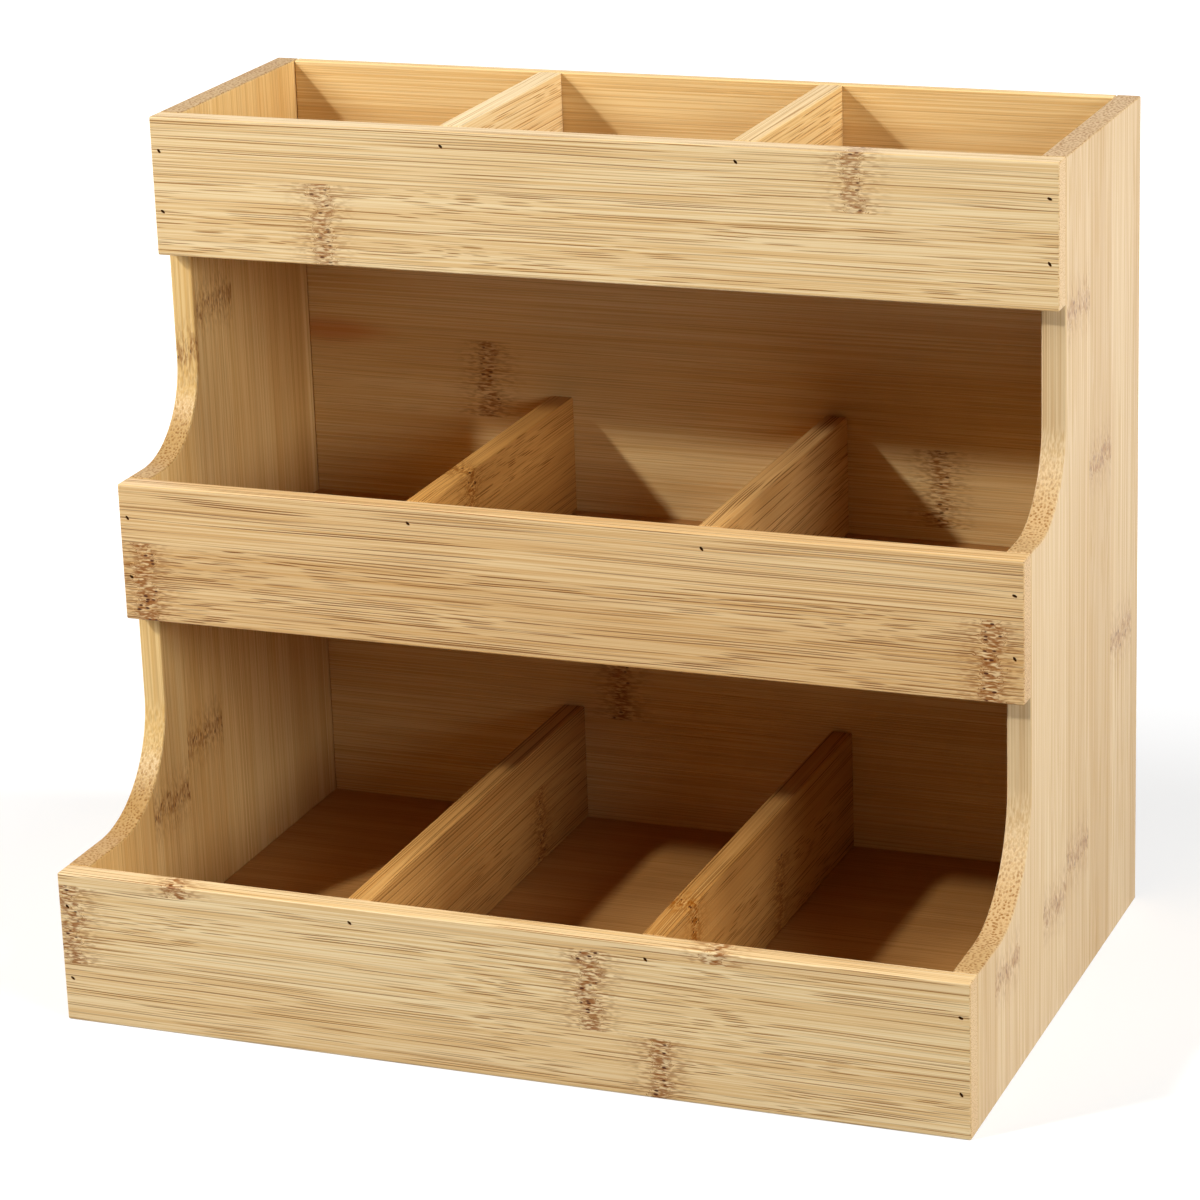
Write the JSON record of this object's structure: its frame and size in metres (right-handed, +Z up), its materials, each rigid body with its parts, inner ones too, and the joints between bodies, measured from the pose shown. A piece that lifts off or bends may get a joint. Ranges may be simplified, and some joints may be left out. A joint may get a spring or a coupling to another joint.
{
  "type": "tea bag organizer",
  "caption": "Stepped bamboo countertop organizer with tiered open compartments for wrapped tea bags, swept side panels and pinned front rails.",
  "frame": {"origin": "on the table, under the middle of the organizer's bounding box", "axes": "+X to the organizer's right seen from its front, +Y from front to back, +Z up"},
  "size_m": [0.31, 0.2, 0.282],
  "materials": {
    "bamboo": "sanded, clear satin lacquer",
    "pin_steel": "plain drawn wire"
  },
  "bodies": {
    "root": {"left_side_panel": "bamboo", "right_side_panel": "bamboo", "back_panel": "bamboo", "bottom_rail": "bamboo", "middle_rail": "bamboo", "top_rail": "bamboo", "bottom_shelf": "bamboo", "middle_shelf": "bamboo", "top_shelf": "bamboo", "bottom_left_divider": "bamboo", "bottom_right_divider": "bamboo", "middle_left_divider": "bamboo", "middle_right_divider": "bamboo", "top_left_divider": "bamboo", "top_right_divider": "bamboo", "bottom_left_upper_pin": "pin_steel", "bottom_left_lower_pin": "pin_steel", "bottom_left_divider_pin": "pin_steel", "bottom_right_upper_pin": "pin_steel", "bottom_right_lower_pin": "pin_steel", "bottom_right_divider_pin": "pin_steel", "middle_left_upper_pin": "pin_steel", "middle_left_lower_pin": "pin_steel", "middle_left_divider_pin": "pin_steel", "middle_right_upper_pin": "pin_steel", "middle_right_lower_pin": "pin_steel", "middle_right_divider_pin": "pin_steel", "top_left_upper_pin": "pin_steel", "top_left_lower_pin": "pin_steel", "top_left_divider_pin": "pin_steel", "top_right_upper_pin": "pin_steel", "top_right_lower_pin": "pin_steel", "top_right_divider_pin": "pin_steel"}
  },
  "joints": []
}
